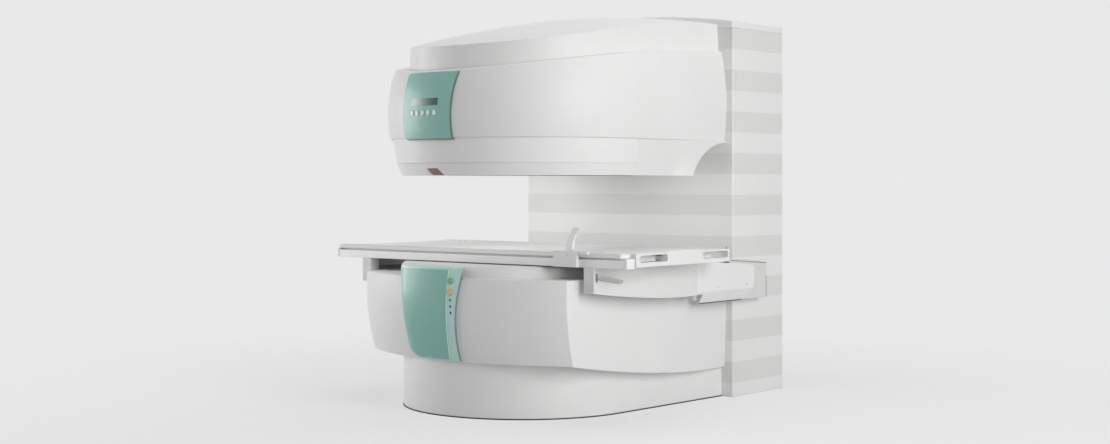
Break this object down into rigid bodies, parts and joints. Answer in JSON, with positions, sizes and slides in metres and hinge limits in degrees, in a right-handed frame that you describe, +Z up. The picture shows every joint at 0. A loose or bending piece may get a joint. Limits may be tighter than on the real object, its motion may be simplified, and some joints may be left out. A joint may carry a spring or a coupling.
{
  "type": "open mri scanner",
  "caption": "Open C-shaped MRI scanner: a striped column carries an upper and a lower magnet unit, with a sliding patient table through the gap between them.",
  "frame": {"origin": "on the floor, under the centre of the two magnet poles", "axes": "+Z up, +X along the patient table towards its grip end, -Y towards the front, column at +Y"},
  "size_m": [1.973, 2.074, 2.0598],
  "materials": {
    "cover_white": "satin moulded cover, warm white",
    "column_white": "satin white with wide pale grey bands",
    "plinth_white": "satin moulded cover",
    "seal_dark": "matt dark rubber",
    "panel_teal": "satin grey-green",
    "insert_teal": "smooth, darker grey-green",
    "display_dark": "smooth dark green window",
    "laser_red": "smooth red-brown window",
    "key_pale": "matt pale keys",
    "button_green": "green push button",
    "button_orange": "orange push button",
    "lens_dark": "small dark lenses",
    "table_white": "matt white laminate",
    "table_grey": "matt grey moulding",
    "rail_aluminium": "brushed and anodised",
    "lever_grey": "matt grey",
    "yoke_steel": "painted magnet steel",
    "magnet_black": "coated magnet blocks",
    "coil_brown": "resin-cast winding",
    "steel": "bright zinc-plated steel"
  },
  "bodies": {
    "magnet": {"column_front_cover": "column_white", "column_rear_cover": "column_white", "column_side_covers": "column_white", "column_top_cap": "column_white", "upper_bulge_cover": "cover_white", "upper_top_cover": "cover_white", "upper_pole_cover": "cover_white", "arm_fairing": "cover_white", "laser_window": "laser_red", "lower_drum_cover": "cover_white", "lower_pole_cover": "cover_white", "plinth_cover": "plinth_white", "plinth_seal": "seal_dark", "upper_control_panel": "panel_teal", "display_window": "display_dark", "lower_control_panel": "panel_teal", "lower_panel_insert": "insert_teal", "indicator_lenses": "lens_dark", "lower_yoke_plate": "yoke_steel", "upper_yoke_plate": "yoke_steel", "yoke_post": "yoke_steel", "yoke_bolts": "steel", "pedestals": "yoke_steel", "floor_pads": "yoke_steel", "rf_coils": "coil_brown", "gradient_coils": "coil_brown", "pole_pieces": "yoke_steel", "magnet_blocks": "magnet_black", "guide_boxes": "cover_white", "slide_bearings": "steel"},
    "carriage": {"front_rail": "rail_aluminium", "rear_rail": "rail_aluminium", "cross_beams": "rail_aluminium", "rail_end_caps": "table_white", "side_cover_right": "table_white", "side_cover_left": "table_white", "housing_screws": "steel", "side_knobs": "lever_grey", "rear_housings": "table_grey", "side_arms": "steel", "slide_bars": "steel", "housing_brackets": "steel"},
    "tabletop": {"tabletop_board": "table_white", "rail_strips": "table_grey", "end_moulding": "table_grey", "end_plate": "table_white", "end_knob": "lever_grey"},
    "clamp": {"clamp_block": "table_grey", "clamp_tongue": "steel", "clamp_tab": "table_grey", "clamp_pin": "steel"},
    "clamp_lever": {"clamp_lever": "table_white"},
    "release_lever": {"release_lever": "lever_grey"},
    "start_button": {"start_button": "button_green"},
    "stop_button": {"stop_button": "button_orange"},
    "key_1": {"key_1": "key_pale"},
    "key_2": {"key_2": "key_pale"},
    "key_3": {"key_3": "key_pale"},
    "key_4": {"key_4": "key_pale"},
    "key_5": {"key_5": "key_pale"}
  },
  "joints": [
    {"name": "carriage_slide", "type": "slide", "parent": "magnet", "child": "carriage", "axis": [0, 1, 0], "range_m": [-0.1, 0.1]},
    {"name": "tabletop_slide", "type": "slide", "parent": "carriage", "child": "tabletop", "axis": [1, 0, 0], "range_m": [-0.13, 0.6]},
    {"name": "clamp_slide", "type": "slide", "parent": "carriage", "child": "clamp", "axis": [1, 0, 0], "range_m": [-1.5, 0.2]},
    {"name": "clamp_lever_hinge", "type": "hinge", "parent": "clamp", "child": "clamp_lever", "pos_m": [0.6424, -0.421, 0.8015], "axis": [0, 1, 0], "range_deg": [-80, 0]},
    {"name": "release_lever_hinge", "type": "hinge", "parent": "carriage", "child": "release_lever", "pos_m": [0.772, -0.391, 0.694], "axis": [1, 0, 0], "range_deg": [0, 14], "stiffness_Nm_per_rad": 0.5, "springref_deg": -17.19},
    {"name": "key_1_press", "type": "slide", "parent": "magnet", "child": "key_1", "axis": [0.1608, 0.987, 0], "range_m": [0, 0.0025], "stiffness_N_per_m": 300, "springref_m": -0.002},
    {"name": "key_2_press", "type": "slide", "parent": "magnet", "child": "key_2", "axis": [0.1065, 0.9943, 0], "range_m": [0, 0.0025], "stiffness_N_per_m": 300, "springref_m": -0.002},
    {"name": "key_3_press", "type": "slide", "parent": "magnet", "child": "key_3", "axis": [0.0522, 0.9986, 0], "range_m": [0, 0.0025], "stiffness_N_per_m": 300, "springref_m": -0.002},
    {"name": "key_4_press", "type": "slide", "parent": "magnet", "child": "key_4", "axis": [-0.0021, 1, 0], "range_m": [0, 0.0025], "stiffness_N_per_m": 300, "springref_m": -0.002},
    {"name": "key_5_press", "type": "slide", "parent": "magnet", "child": "key_5", "axis": [-0.0564, 0.9984, 0], "range_m": [0, 0.0025], "stiffness_N_per_m": 300, "springref_m": -0.002},
    {"name": "start_press", "type": "slide", "parent": "magnet", "child": "start_button", "axis": [0, 1, 0], "range_m": [0, 0.003], "stiffness_N_per_m": 400, "springref_m": -0.002},
    {"name": "stop_press", "type": "slide", "parent": "magnet", "child": "stop_button", "axis": [0, 1, 0], "range_m": [0, 0.003], "stiffness_N_per_m": 400, "springref_m": -0.002}
  ]
}
